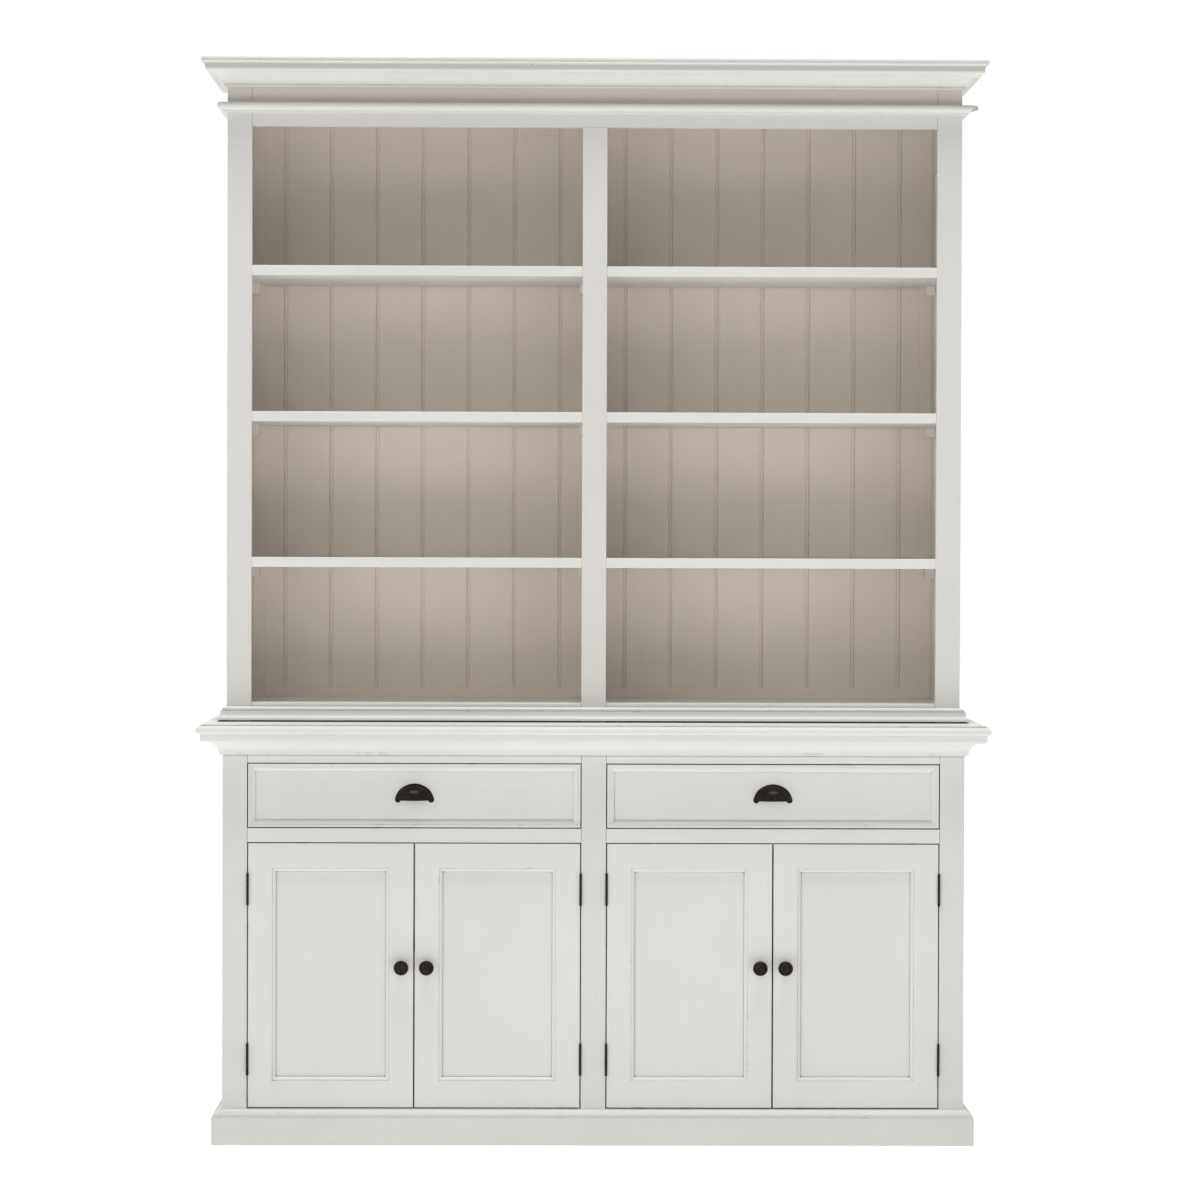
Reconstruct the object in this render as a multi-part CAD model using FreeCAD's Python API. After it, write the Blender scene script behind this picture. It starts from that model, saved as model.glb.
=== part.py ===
import FreeCAD, Part
import os

# A painted hutch: an open bookcase of two bays on a cupboard base with two drawers and four doors.
# Sizes are in millimetres. X runs to the right, Y to the back and Z up. The origin is on the floor
# under the middle of the counter.

# Whole piece
overall_width = 1600.0  # across the counter and the cornice
overall_depth = 500.0  # front to back of the counter
overall_height = 2200.0
counter_height = 850.0
counter_overhang = 50.0
hutch_setback = 100.0  # from the cupboard's face back to the bookcase's face
cornice_projection = 50.0

# Boards that both cabinets share
end_thickness = 28.0
face_frame_thickness = 20.0
stile_width = 50.0
partition_thickness = 20.0
board_thickness = 18.0

# Cupboard heights, from the floor up
plinth_height = 71.0
base_rail_height = 60.0
base_floor_height = 72.5
drawer_rail_height = 28.8
drawer_opening_height = 131.8
top_rail_height = 59.0
counter_thickness = 20.0
back_rail_height = 60.0

# Bookcase heights
hutch_rail_height = 38.0
shelf_pitch_share = 0.2531  # of the clear height inside the bookcase
shelf_thickness = 20.5
shelf_levels = 3
shelf_front_setback = 1.0
frieze_rail_height = 122.5
cornice_board_thickness = 12.0
ceiling_thickness = 20.0

# Panelled ends of both cabinets
end_front_stile = 45.0
end_back_stile = 65.0
base_end_bottom_rail = 128.0
base_end_top_rail = 102.0
hutch_end_bottom_rail = 95.0
hutch_end_top_rail = 180.0
end_panel_recess = 9.0
end_panel_thickness = 10.0

# Moulded or chamfered inner edge of a panelled frame, with the panel's groove behind it
sticking_width = 7.0
sticking_drop = 5.5
sticking_quirk = 1.2
groove_clearance = 0.5

# Matchboarded backs: boards with a bead along one edge
matchboard_pitch = 97.4
matchboard_thickness = 14.0
matchboard_bead = 6.0
matchboard_quirk = 1.6
matchboard_quirk_depth = 2.2
bead_slope_share = 0.3  # of the bead's width, at each side of it
plain_board_width = 144.4
matchboard_bay_centre = 360.6  # where a joint of the bookcase's back stands
back_frame_thickness = 18.0
back_frame_side_stile = 26.0
back_frame_centre_stile = 64.0
back_frame_bottom_rail = 59.0
back_frame_top_rail = 50.0
back_frame_rebate = 8.0

# Shelf rests
cleat_height = 20.0
cleat_width = 18.0
back_cleat_length = 82.0
front_cleat_width = 14.0
front_cleat_length = 40.0
cupboard_shelf_share = 0.48  # of the height between the cupboard's floor and its middle rail
cupboard_shelf_setback = 30.0
cupboard_cleat_setback = 116.0

# Doors
door_thickness = 19.5
door_hinge_gap = 2.4
door_edge_gap = 2.0
door_meeting_gap = 3.0
door_stile = 49.0
door_top_rail = 50.0
door_bottom_rail = 54.0
door_panel_recess = 8.0
door_panel_thickness = 7.0
door_stop_length = 120.0
door_stop_height = 35.0
door_stop_drop = 20.0
catch_width = 30.0
catch_height = 12.0
catch_spacing = 70.0
catch_setback = 0.3

# Knobs
knob_rise = 17.0  # above the middle of the door
knob_inset = 24.0
knob_radius = 15.0
knob_projection = 25.0
knob_neck_radius = 5.5
knob_neck_end = 9.0
knob_rim_back = 17.0
knob_rim_front = 21.5
knob_face_radius = 12.5
knob_ring_radius = 10.5
knob_ring_depth = 1.0

# Butt hinges
hinge_barrel_length = 65.0
hinge_barrel_radius = 2.5
hinge_standoff = 0.1
hinge_leaf_thickness = 1.0
hinge_leaf_depth = 18.0
hinge_knuckles = 3
hinge_knuckle_gap = 0.3
hinge_top_inset = 60.0
hinge_bottom_inset = 64.5

# Drawers
drawer_side_gap = 2.0
drawer_edge_gap = 2.0
drawer_front_thickness = 20.0
drawer_border_band = 5.0
drawer_border_step = 1.0
drawer_border_slope = 10.0
drawer_border_drop = 4.5
drawer_field_recess = 6.5
drawer_side_thickness = 12.0
drawer_side_height = 125.0
drawer_back_clearance = 36.0
drawer_bottom_thickness = 6.0
drawer_bottom_lift = 8.0
drawer_bottom_groove = 6.0
drawer_runner_width = 40.0
drawer_runner_height = 20.0
drawer_runner_clearance = 0.3
drawer_guide_height = 25.0
drawer_guide_clearance = 0.6
drawer_stop_length = 15.0
drawer_stop_clearance = 0.5

# Cup pulls: a cast shell open below, with a rim and two ears against the drawer front
pull_half_length = 37.5
pull_projection = 24.0
pull_height = 32.0
pull_lip_drop = 9.6  # below the middle of the drawer's opening
pull_rim_width = 2.0
pull_rim_thickness = 1.6
pull_ear_radius = 6.0
pull_ear_offset = 33.6
pull_ear_rise = 1.2
# Its curve from the middle to an end: shares of the half length and of the radius at the middle
pull_outside_shares = [(0.24, 1.0), (0.5, 0.84), (0.82, 0.545)]
pull_hollow_shares = [(0.36, 0.89)]
pull_hollow_end_share = 0.945

# Mouldings. Each size is a projection from the face, or a height within the moulding.
plinth_thickness = 20.0
plinth_flat_height = 56.0
plinth_ledge = 3.0
plinth_ledge_height = 62.5
plinth_top_projection = 4.0
nose_top_depth = 9.5
nose_step = 2.5
nose_tip_drop = 11.5
nose_bottom_depth = 8.0
crown_projection = 42.0
crown_height = 43.0
crown_lip = 11.5
crown_round_width = 9.0
crown_round_height = 4.0
crown_step_projection = 8.0
crown_step = 9.0
crown_foot_projection = 5.0
crown_foot = 4.5
cornice_lip = 7.0
cornice_under_step = 2.0
bead_height = 20.0
bead_drop = 32.5  # from the foot of the cornice moulding to the top of the bead moulding
bead_roll_height = 15.0
bead_roll_root = 13.5
bead_fillet_projection = 10.0
hutch_moulding_lift = 3.5
hutch_moulding_height = 27.5
hutch_moulding_top_projection = 1.5
hutch_moulding_slope_foot = 23.5
hutch_moulding_step_projection = 9.0
hutch_moulding_step = 19.0
hutch_moulding_band_projection = 12.0
hutch_moulding_band_foot = 13.0
hutch_moulding_projection = 20.0
hutch_moulding_foot = 4.5

# How far an arc stands off its chord, as a share of the chord
quarter_round_share = 0.2071
shallow_round_share = 0.11
ovolo_share = 0.16
roll_share = 0.43

cut_overrun = 5.0

# Places that follow from the sizes above
half_width = overall_width / 2 - counter_overhang
inner_x = half_width - end_thickness
opening_x = half_width - stile_width
centre_x = stile_width / 2
partition_x = partition_thickness / 2
counter_front = -overall_depth / 2
back_y = overall_depth / 2
base_front = counter_front + counter_overhang
base_inside = base_front + face_frame_thickness
hutch_front = base_front + hutch_setback
hutch_inside = hutch_front + face_frame_thickness
counter_under = counter_height - counter_thickness
top_rail_under = counter_under - top_rail_height
drawer_floor = top_rail_under - drawer_opening_height
door_head = drawer_floor - drawer_rail_height
cornice_under = overall_height - cornice_board_thickness
frieze_under = cornice_under - frieze_rail_height
hutch_floor = counter_height + hutch_rail_height
cupboard_shelf_height = base_floor_height + (door_head - base_floor_height) * cupboard_shelf_share
hutch_ceiling = cornice_under - ceiling_thickness
hutch_back = back_y - back_frame_thickness
base_back = back_y - matchboard_thickness


def box(x0, x1, y0, y1, z0, z1):
    """A square-edged board between two opposite corners, given in any order."""
    corner = FreeCAD.Vector(min(x0, x1), min(y0, y1), min(z0, z1))
    return Part.makeBox(abs(x1 - x0), abs(y1 - y0), abs(z1 - z0), corner)


def mirrored(solids):
    """The same pieces on the other side of the middle of the cabinet."""
    return [solid.mirror(FreeCAD.Vector(), FreeCAD.Vector(1, 0, 0)) for solid in solids]


def both_sides(solids):
    """The pieces of the right half with their mirror images."""
    return solids + mirrored(solids)


def moved(solids, x, y, z):
    """Copies of the pieces shifted to their place."""
    return [solid.translated(FreeCAD.Vector(x, y, z)) for solid in solids]


def outline(points, place):
    """A closed face. A third number makes the edge to that point an arc, standing off its
    chord by that share of it, to the left of the way round."""
    edges = []
    for start, end in zip(points, points[1:] + points[:1]):
        first = place(start[0], start[1])
        last = place(end[0], end[1])
        if len(end) == 3:
            across = (start[0] + end[0]) / 2 - (end[1] - start[1]) * end[2]
            along = (start[1] + end[1]) / 2 + (end[0] - start[0]) * end[2]
            edges.append(Part.Arc(first, place(across, along), last).toShape())
        else:
            edges.append(Part.LineSegment(first, last).toShape())
    return Part.Face(Part.Wire(edges))


def prism_x(section, x0, x1):
    """A (y, z) section drawn out along X."""
    face = outline(section, lambda y, z: FreeCAD.Vector(x0, y, z))
    return face.extrude(FreeCAD.Vector(x1 - x0, 0, 0))


def prism_y(section, y0, y1):
    """An (x, z) section drawn out along Y."""
    face = outline(section, lambda x, z: FreeCAD.Vector(x, y0, z))
    return face.extrude(FreeCAD.Vector(0, y1 - y0, 0))


def prism_z(section, z0, z1):
    """An (x, y) section drawn out along Z."""
    face = outline(section, lambda x, y: FreeCAD.Vector(x, y, z0))
    return face.extrude(FreeCAD.Vector(0, 0, z1 - z0))


def mitred_lengths(section, front, foot):
    """Three lengths of moulding round the front and both sides of a cabinet, mitred at its
    corners. The section gives projections and heights above the moulding's foot."""
    extent = outline(section, FreeCAD.Vector).BoundBox
    reach = extent.XMax
    height = extent.YMax
    out = half_width + reach
    ahead = front - reach
    front_section = [(front - p[0], foot + p[1]) + tuple(-share for share in p[2:]) for p in section]
    front_length = prism_x(front_section, -out, out)
    plan = [(-half_width, front), (-out, ahead), (out, ahead), (half_width, front)]
    front_length = front_length.common(prism_z(plan, foot, foot + height))
    side_length = prism_y([(half_width + p[0], foot + p[1]) + p[2:] for p in section], ahead, back_y)
    plan = [(half_width, front), (out, ahead), (out, back_y), (half_width, back_y)]
    side_length = side_length.common(prism_z(plan, foot, foot + height))
    return [front_length] + both_sides([side_length])


def framed_panel(width, height, stiles, rails, thickness, recess, panel_thickness, round_share):
    """A frame of two stiles and two rails with a moulded inner edge, and the panel in its
    groove. X is across, Y from the face inwards and Z up, from the lower left corner."""
    left, right = stiles
    bottom, top = rails

    def section(flat):
        edge = flat + sticking_width
        behind = recess + panel_thickness
        moulded = (edge, sticking_drop, -round_share) if round_share else (edge, sticking_drop)
        return [(0, 0), (flat, 0), (flat, sticking_quirk), moulded, (edge, recess), (flat, recess),
                (flat, behind), (edge, behind), (edge, thickness), (0, thickness)]

    def stile(flat):
        length = prism_z(section(flat), 0, height)
        edge = flat + sticking_width
        shape = [(0, 0), (flat, 0), (flat, bottom), (edge, bottom + sticking_width),
                 (edge, height - top - sticking_width), (flat, height - top), (flat, height), (0, height)]
        return length.common(prism_y(shape, 0, thickness))

    def rail(flat):
        length = outline(section(flat), lambda u, w: FreeCAD.Vector(0, w, u))
        length = length.extrude(FreeCAD.Vector(width, 0, 0))
        edge = flat + sticking_width
        shape = [(left, 0), (width - right, 0), (width - right, flat),
                 (width - right - sticking_width, edge), (left + sticking_width, edge), (left, flat)]
        return length.common(prism_y(shape, 0, thickness))

    right_stile = stile(right).mirror(FreeCAD.Vector(width / 2, 0, 0), FreeCAD.Vector(1, 0, 0))
    top_rail = rail(top).mirror(FreeCAD.Vector(0, 0, height / 2), FreeCAD.Vector(0, 0, 1))
    held = groove_clearance
    panel = box(left + held, width - right - held, recess, recess + panel_thickness,
                bottom + held, height - top - held)
    return [stile(left), right_stile, rail(bottom), top_rail], panel


def cabinet_side(front, foot, head, rails):
    """The right side of a cabinet: a panelled frame turned to face outwards."""
    width = back_y - front
    frame, panel = framed_panel(width, head - foot, (end_front_stile, end_back_stile), rails,
                                end_thickness, end_panel_recess, end_panel_thickness, 0)
    pieces = []
    for solid in frame + [panel]:
        turned = solid.copy()
        turned.rotate(FreeCAD.Vector(), FreeCAD.Vector(0, 0, 1), 90)
        pieces.append(turned)
    return moved(pieces, half_width, front, foot)


def matchboards(x0, x1, middle, face, z0, z1):
    """Beaded boards side by side, with one joint's bead over the middle of the run."""
    back = face + matchboard_thickness
    joint = middle + (matchboard_bead + matchboard_quirk) / 2
    count = int((x1 - x0) / matchboard_pitch) + 2
    joints = [joint + step * matchboard_pitch for step in range(-count, count + 1)]
    inside = [x for x in joints if x0 + matchboard_bead + matchboard_quirk < x < x1]
    sunk = face + matchboard_quirk_depth
    boards = []
    for left, right in zip([x0] + inside, inside):
        bead = right - matchboard_bead
        slope = matchboard_bead * bead_slope_share
        quirk = bead - matchboard_quirk
        section = [(left, face), (left, back), (right, back), (right, sunk), (right - slope, face),
                   (bead + slope, face), (bead, sunk), (quirk, sunk), (quirk, face)]
        boards.append(prism_z(section, z0, z1))
    return boards + [box(inside[-1], x1, face, back, z0, z1)]


def crown_section():
    """A lip over a rounded edge and a cove, down to a small square foot."""
    lip_under = crown_height - crown_lip
    cove_top = lip_under - crown_round_height
    return [(0, 0), (crown_foot_projection, 0), (crown_foot_projection, crown_foot),
            (crown_step_projection, crown_foot), (crown_step_projection, crown_step),
            (crown_projection - crown_round_width, cove_top, ovolo_share),
            (crown_projection, lip_under, -quarter_round_share), (crown_projection, crown_height),
            (0, crown_height)]


# Cupboard base
def plinth():
    ledge = plinth_thickness - plinth_ledge
    section = [(0, 0), (plinth_thickness, 0), (plinth_thickness, plinth_flat_height),
               (ledge, plinth_flat_height), (ledge, plinth_ledge_height),
               (plinth_top_projection, plinth_height, shallow_round_share), (0, plinth_height)]
    return mitred_lengths(section, base_front, 0)


def base_side():
    return cabinet_side(base_inside, 0, counter_under, (base_end_bottom_rail, base_end_top_rail))


def base_partition():
    return [box(-partition_x, partition_x, base_inside, base_back, base_floor_height, counter_under)]


def base_floor():
    under = base_floor_height - board_thickness
    return [box(-inner_x, inner_x, base_inside, base_back, under, base_floor_height)]


def base_back_boards():
    """Plain boards side by side, as many as come nearest to their usual width."""
    under = base_floor_height - board_thickness
    count = round(2 * inner_x / plain_board_width)
    width = 2 * inner_x / count
    boards = []
    for index in range(count):
        left = width * index - inner_x
        boards.append(box(left, left + width, base_back, back_y, under, counter_under))
    return boards


def base_stiles():
    outer = box(opening_x, half_width, base_front, base_inside, 0, counter_under)
    centre = box(-centre_x, centre_x, base_front, base_inside, 0, counter_under)
    return both_sides([outer]) + [centre]


def base_rails():
    """Bottom, middle and top rails of each bay, and the rail along the back under the counter."""
    levels = [(base_floor_height - base_rail_height, base_floor_height), (door_head, drawer_floor),
              (top_rail_under, counter_under)]
    rails = [box(centre_x, opening_x, base_front, base_inside, low, high) for low, high in levels]
    rails.append(box(partition_x, inner_x, base_back - face_frame_thickness, base_back,
                     counter_under - back_rail_height, counter_under))
    return both_sides(rails)


def drawer_sides_x():
    """Where the outer faces of the right drawer stand."""
    return centre_x + drawer_side_gap, opening_x - drawer_side_gap


def drawer_end():
    return base_back - drawer_back_clearance


def drawer_runners():
    """A runner, a guide on top of it and a stop at its end, on each side of each drawer."""
    near, far = drawer_sides_x()
    length_end = base_back - face_frame_thickness
    low = drawer_floor - drawer_runner_height
    guide_top = drawer_floor + drawer_guide_height
    stop_start = drawer_end() + drawer_stop_clearance
    pieces = []
    for wall, side, inwards in ((partition_x, near, 1), (inner_x, far, -1)):
        edge = wall + inwards * drawer_runner_width
        guide = side - inwards * drawer_guide_clearance
        pieces.append(box(wall, edge, base_inside, length_end, low, drawer_floor))
        pieces.append(box(wall, guide, base_inside, length_end, drawer_floor, guide_top))
        pieces.append(box(guide, edge, stop_start, stop_start + drawer_stop_length, drawer_floor, guide_top))
    return both_sides(pieces)


def drawer_kickers():
    """Strips above the drawer sides that stop an open drawer from tipping."""
    top = top_rail_under + drawer_runner_height
    pieces = []
    for wall, inwards in ((partition_x, 1), (inner_x, -1)):
        edge = wall + inwards * drawer_runner_width
        pieces.append(box(wall, edge, base_inside, base_back - face_frame_thickness, top_rail_under, top))
    return both_sides(pieces)


def cupboard_shelves():
    front = base_inside + cupboard_shelf_setback
    return both_sides([box(partition_x, inner_x, front, base_back, cupboard_shelf_height,
                           cupboard_shelf_height + board_thickness)])


def cupboard_shelf_cleats():
    back = base_back
    front = base_inside + cupboard_cleat_setback
    low = cupboard_shelf_height - cleat_height
    return both_sides([box(inner_x - cleat_width, inner_x, front, back, low, cupboard_shelf_height),
                       box(partition_x, partition_x + cleat_width, front, back, low, cupboard_shelf_height)])


def bay_centre():
    return (centre_x + opening_x) / 2


def door_stops():
    """A block behind the middle rail that the two doors of a bay close against."""
    middle = bay_centre()
    low = door_head - door_stop_drop
    return both_sides([box(middle - door_stop_length / 2, middle + door_stop_length / 2, base_inside,
                           base_inside + face_frame_thickness, low, low + door_stop_height)])


def door_catches():
    low = door_head - door_stop_drop
    front = base_inside + catch_setback
    catches = []
    for side in (-1, 1):
        middle = bay_centre() + side * catch_spacing / 2
        catches.append(box(middle - catch_width / 2, middle + catch_width / 2, front,
                           base_inside + face_frame_thickness, low - catch_height, low))
    return both_sides(catches)


def counter_moulding():
    return mitred_lengths(crown_section(), base_front, counter_under - crown_height)


def counter_top():
    """A board with the same stepped and rounded nose on its front and both ends."""
    half = overall_width / 2
    tip = counter_height - nose_tip_drop
    step = counter_height - nose_step
    back_in = counter_front + nose_top_depth
    long_section = [(back_y, counter_under), (back_y, counter_height), (back_in, counter_height),
                    (back_in, step), (counter_front, tip, -quarter_round_share),
                    (counter_front + nose_bottom_depth, counter_under, -quarter_round_share)]
    end_in = half - nose_top_depth
    end_section = [(half - nose_bottom_depth, counter_under), (half, tip, -quarter_round_share),
                   (end_in, step, -quarter_round_share), (end_in, counter_height), (-end_in, counter_height),
                   (-end_in, step), (-half, tip, -quarter_round_share),
                   (nose_bottom_depth - half, counter_under, -quarter_round_share)]
    return [prism_x(long_section, -half, half).common(prism_y(end_section, counter_front, back_y))]


# Bookcase
def hutch_side():
    rails = (hutch_end_bottom_rail, hutch_end_top_rail)
    return cabinet_side(hutch_inside, counter_height, cornice_under, rails)


def hutch_partition():
    return [box(-partition_x, partition_x, hutch_inside, hutch_back, hutch_floor, hutch_ceiling)]


def hutch_floor_board():
    return [box(-inner_x, inner_x, hutch_inside, hutch_back, hutch_floor - board_thickness, hutch_floor)]


def hutch_ceiling_board():
    return [box(-inner_x, inner_x, hutch_inside, hutch_back, hutch_ceiling, cornice_under)]


def back_opening():
    """The part of the right bay's back that shows its boards: two X values and two Z values."""
    left = back_frame_centre_stile / 2
    right = inner_x - back_frame_side_stile
    return left, right, counter_height + back_frame_bottom_rail, cornice_under - back_frame_top_rail


def hutch_back_frame():
    """Stiles and rails with a rebate behind that takes the boards' ends and edges."""
    left, right, low, high = back_opening()
    board_face = back_y - matchboard_thickness
    rebate = box(left - back_frame_rebate, right + back_frame_rebate, board_face, back_y + cut_overrun,
                 low - back_frame_rebate, high + back_frame_rebate)
    pieces = [box(right, inner_x, hutch_back, back_y, counter_height, cornice_under),
              box(left, right, hutch_back, back_y, counter_height, low),
              box(left, right, hutch_back, back_y, high, cornice_under)]
    centre = box(-left, left, hutch_back, back_y, counter_height, cornice_under)
    centre = centre.cut(rebate).cut(mirrored([rebate])[0])
    return both_sides([piece.cut(rebate) for piece in pieces]) + [centre]


def hutch_back_boards():
    left, right, low, high = back_opening()
    held = back_frame_rebate
    face = back_y - matchboard_thickness
    boards = matchboards(left - held, right + held, matchboard_bay_centre, face, low - held, high + held)
    return both_sides(boards)


def hutch_stiles():
    outer = box(opening_x, half_width, hutch_front, hutch_inside, counter_height, cornice_under)
    centre = box(-centre_x, centre_x, hutch_front, hutch_inside, counter_height, frieze_under)
    return both_sides([outer]) + [centre]


def hutch_frieze_rail():
    return [box(-opening_x, opening_x, hutch_front, hutch_inside, frieze_under, cornice_under)]


def hutch_bottom_rails():
    return both_sides([box(centre_x, opening_x, hutch_front, hutch_inside, counter_height, hutch_floor)])


def shelf_tops():
    pitch = (frieze_under - hutch_floor) * shelf_pitch_share
    return [hutch_floor + pitch * (level + 1) for level in range(shelf_levels)]


def hutch_shelves():
    """The right bay's shelves. Each is notched at its front corners round the stiles."""
    lip = hutch_front + shelf_front_setback
    plan = [(partition_x, hutch_inside), (centre_x, hutch_inside), (centre_x, lip), (opening_x, lip),
            (opening_x, hutch_inside), (inner_x, hutch_inside), (inner_x, hutch_back),
            (partition_x, hutch_back)]
    return [prism_z(plan, top - shelf_thickness, top) for top in shelf_tops()]


def hutch_shelf_cleats():
    """Rests under the ends of each shelf, at the back and behind the face frame."""
    pieces = []
    for top in shelf_tops():
        high = top - shelf_thickness
        low = high - cleat_height
        for wall, inwards in ((partition_x, 1), (inner_x, -1)):
            back_edge = wall + inwards * cleat_width
            front_edge = wall + inwards * front_cleat_width
            pieces.append(box(wall, back_edge, hutch_back - back_cleat_length, hutch_back, low, high))
            pieces.append(box(wall, front_edge, hutch_inside, hutch_inside + front_cleat_length, low, high))
    return both_sides(pieces)


def hutch_base_moulding():
    section = [(0, 0), (hutch_moulding_projection, 0), (hutch_moulding_projection, hutch_moulding_foot),
               (hutch_moulding_band_projection, hutch_moulding_band_foot, quarter_round_share),
               (hutch_moulding_band_projection, hutch_moulding_step),
               (hutch_moulding_step_projection, hutch_moulding_step),
               (hutch_moulding_step_projection, hutch_moulding_slope_foot),
               (hutch_moulding_top_projection, hutch_moulding_height), (0, hutch_moulding_height)]
    return mitred_lengths(section, hutch_front, counter_height + hutch_moulding_lift)


def frieze_bead():
    roll_foot = bead_height - bead_roll_height
    section = [(0, 0), (bead_fillet_projection, 0), (bead_fillet_projection, roll_foot),
               (bead_roll_root, roll_foot), (bead_roll_root, bead_height, -roll_share), (0, bead_height)]
    return mitred_lengths(section, hutch_front, cornice_under - crown_height - bead_drop - bead_height)


def cornice_moulding():
    return mitred_lengths(crown_section(), hutch_front, cornice_under - crown_height)


def cornice_board():
    """A board with a square lip hollowed underneath, on its front and both ends."""
    tip = hutch_front - cornice_projection
    root = hutch_front - crown_projection
    end_tip = half_width + cornice_projection
    end_root = half_width + crown_projection
    lip_under = overall_height - cornice_lip
    step = cornice_under + cornice_under_step
    long_section = [(back_y, cornice_under), (back_y, overall_height), (tip, overall_height),
                    (tip, lip_under), (root, step, quarter_round_share), (root, cornice_under)]
    end_section = [(end_root, cornice_under), (end_root, step), (end_tip, lip_under, quarter_round_share),
                   (end_tip, overall_height), (-end_tip, overall_height), (-end_tip, lip_under),
                   (-end_root, step, quarter_round_share), (-end_root, cornice_under)]
    return [prism_x(long_section, -end_tip, end_tip).common(prism_y(end_section, tip, back_y))]


# Doors
def door_width():
    return (opening_x - centre_x - door_meeting_gap) / 2 - door_hinge_gap


def door_foot():
    return base_floor_height + door_edge_gap


def door_height():
    return door_head - door_edge_gap - door_foot()


def door():
    """Frame and panel of a door hinged at its left, which starts at X = 0 inside its opening."""
    frame, panel = framed_panel(door_width(), door_height(), (door_stile, door_stile),
                                (door_bottom_rail, door_top_rail), door_thickness, door_panel_recess,
                                door_panel_thickness, ovolo_share)
    frame = moved(frame, door_hinge_gap, base_front, door_foot())
    return frame, moved([panel], door_hinge_gap, base_front, door_foot())


def door_knob():
    """A flat-faced knob turned on its own axis, with a rim, a ring and a slightly domed middle."""
    ring_depth = knob_projection - knob_ring_depth
    section = [(0, 0), (knob_neck_radius, 0), (knob_neck_radius, knob_neck_end),
               (knob_radius, knob_rim_back), (knob_radius, knob_rim_front),
               (knob_face_radius, knob_projection), (knob_ring_radius, ring_depth), (0, knob_projection)]
    face = outline(section, lambda radius, out: FreeCAD.Vector(radius, -out, 0))
    knob = face.revolve(FreeCAD.Vector(), FreeCAD.Vector(0, 1, 0), 360)
    height = door_foot() + door_height() / 2 + knob_rise
    return moved([knob], door_hinge_gap + door_width() - knob_inset, base_front, height)


def hinge_feet():
    low = door_foot() + hinge_bottom_inset
    high = door_foot() + door_height() - hinge_top_inset - hinge_barrel_length
    return low, high


def hinge_leaf(edge, inwards, first):
    """A leaf let into one edge of the gap, with every other knuckle from the first."""
    axis_x = door_hinge_gap / 2
    axis_y = base_front - hinge_standoff - hinge_barrel_radius
    pitch = hinge_barrel_length / hinge_knuckles
    face = edge + inwards * hinge_leaf_thickness
    clear = axis_y + hinge_barrel_radius + hinge_knuckle_gap
    leaf = box(edge, face, clear, base_front + hinge_leaf_depth, 0, hinge_barrel_length)
    for index in range(first, hinge_knuckles, 2):
        low = index * pitch + (hinge_knuckle_gap / 2 if index else 0)
        high = (index + 1) * pitch - (hinge_knuckle_gap / 2 if index < hinge_knuckles - 1 else 0)
        knuckle = Part.makeCylinder(hinge_barrel_radius, high - low, FreeCAD.Vector(axis_x, axis_y, low))
        leaf = leaf.fuse([knuckle, box(edge, face, axis_y, clear, low, high)])
    return leaf.removeSplitter().Solids


def at_each_hinge(solids):
    placed = []
    for foot in hinge_feet():
        placed += moved(solids, 0, 0, foot)
    return placed


# Drawers
def drawer_border(width, height):
    """Four mitred lengths of moulding, with their outer corner at the origin and Y inwards."""
    reach = drawer_border_band + drawer_border_slope
    section = [(0, 0), (drawer_border_band, 0), (drawer_border_band, drawer_border_step),
               (reach, drawer_border_step + drawer_border_drop, -shallow_round_share),
               (reach, drawer_field_recess), (0, drawer_field_recess)]
    upright = prism_z(section, 0, height)
    upright = upright.common(prism_y([(0, 0), (reach, reach), (reach, height - reach), (0, height)],
                                     0, drawer_field_recess))
    level = outline(section, lambda u, w: FreeCAD.Vector(0, w, u)).extrude(FreeCAD.Vector(width, 0, 0))
    level = level.common(prism_y([(0, 0), (width, 0), (width - reach, reach), (reach, reach)],
                                 0, drawer_field_recess))
    return [upright, upright.mirror(FreeCAD.Vector(width / 2, 0, 0), FreeCAD.Vector(1, 0, 0)),
            level, level.mirror(FreeCAD.Vector(0, 0, height / 2), FreeCAD.Vector(0, 0, 1))]


def drawer_front():
    """A flat board with a moulding planted round its face."""
    near, far = drawer_sides_x()
    low = drawer_floor + drawer_edge_gap
    high = top_rail_under - drawer_edge_gap
    board = box(near, far, base_front + drawer_field_recess, base_inside, low, high)
    return [board] + moved(drawer_border(far - near, high - low), near, base_front, low)


def drawer_box():
    """Two grooved sides and a back that stands on the bottom."""
    near, far = drawer_sides_x()
    foot = drawer_floor + drawer_runner_clearance
    head = foot + drawer_side_height
    end = drawer_end()
    groove_low = foot + drawer_bottom_lift
    groove_high = groove_low + drawer_bottom_thickness
    sides = []
    for outer, inwards in ((near, 1), (far, -1)):
        inner = outer + inwards * drawer_side_thickness
        side = box(outer, inner, base_inside, end, foot, head)
        groove = box(inner - inwards * drawer_bottom_groove, inner, base_inside, end, groove_low, groove_high)
        sides.append(side.cut(groove))
    back = box(near + drawer_side_thickness, far - drawer_side_thickness, end - drawer_side_thickness, end,
               groove_high, head)
    return sides + [back]


def drawer_bottom():
    near, far = drawer_sides_x()
    held = drawer_side_thickness - drawer_bottom_groove
    low = drawer_floor + drawer_runner_clearance + drawer_bottom_lift
    return [box(near + held, far - held, base_inside, drawer_end(), low, low + drawer_bottom_thickness)]


def pull_centre_setback():
    """How far behind the drawer's face the axis of the pull's curve lies."""
    return (pull_height ** 2 - pull_projection ** 2) / (2 * pull_projection)


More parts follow.
